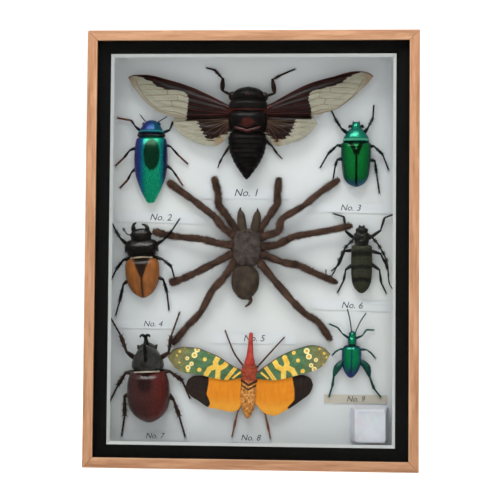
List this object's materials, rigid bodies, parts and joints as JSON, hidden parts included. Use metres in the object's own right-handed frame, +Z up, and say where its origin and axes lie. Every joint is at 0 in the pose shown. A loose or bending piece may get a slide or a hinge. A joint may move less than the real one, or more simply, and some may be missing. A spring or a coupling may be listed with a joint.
{
  "type": "framed insect specimens",
  "caption": "Upright wooden box frame with a glass front, black mat and white tray, in which a cicada, beetles, a lanternfly and a tarantula are fixed above blank paper strips.",
  "frame": {"origin": "centre of the bottom rail's underside, the face the frame stands on", "axes": "+Z up along the picture's height, +X to the viewer's right, the glass faces -Y"},
  "size_m": [0.165, 0.03, 0.217],
  "materials": {
    "rail_wood": "satin varnish",
    "pane": "clear",
    "mat": "matte black with a white bevel",
    "tray": "satin white",
    "board": "raw pressed board",
    "holder": "satin cream",
    "paper": "matte",
    "aged_paper": "matte, aged",
    "cicada_shell": "dry shell with clear wings",
    "jewel_shell": "iridescent green to violet",
    "flower_shell": "metallic green",
    "stag_shell": "glossy orange brown and black",
    "tarantula_hair": "short brown hair",
    "longhorn_shell": "dull olive black with bands",
    "rhinoceros_shell": "glossy dark brown",
    "lanternfly_wing": "green and orange wings with pale spots",
    "leaf_shell": "metallic green"
  },
  "bodies": {
    "root": {"rail_top": "rail_wood", "rail_bottom": "rail_wood", "rail_left": "rail_wood", "rail_right": "rail_wood", "glass": "pane", "mat_board": "mat", "tray": "tray", "back_board": "board", "mothball_box": "holder", "label_1": "paper", "label_2": "paper", "label_3": "paper", "label_4": "paper", "label_5": "paper", "label_6": "paper", "label_7": "paper", "label_8": "paper", "label_9": "aged_paper", "cicada": "cicada_shell", "jewel_beetle": "jewel_shell", "flower_beetle": "flower_shell", "stag_beetle": "stag_shell", "tarantula": "tarantula_hair", "longhorn_beetle": "longhorn_shell", "rhinoceros_beetle": "rhinoceros_shell", "lanternfly": "lanternfly_wing", "leaf_beetle": "leaf_shell"}
  },
  "joints": []
}
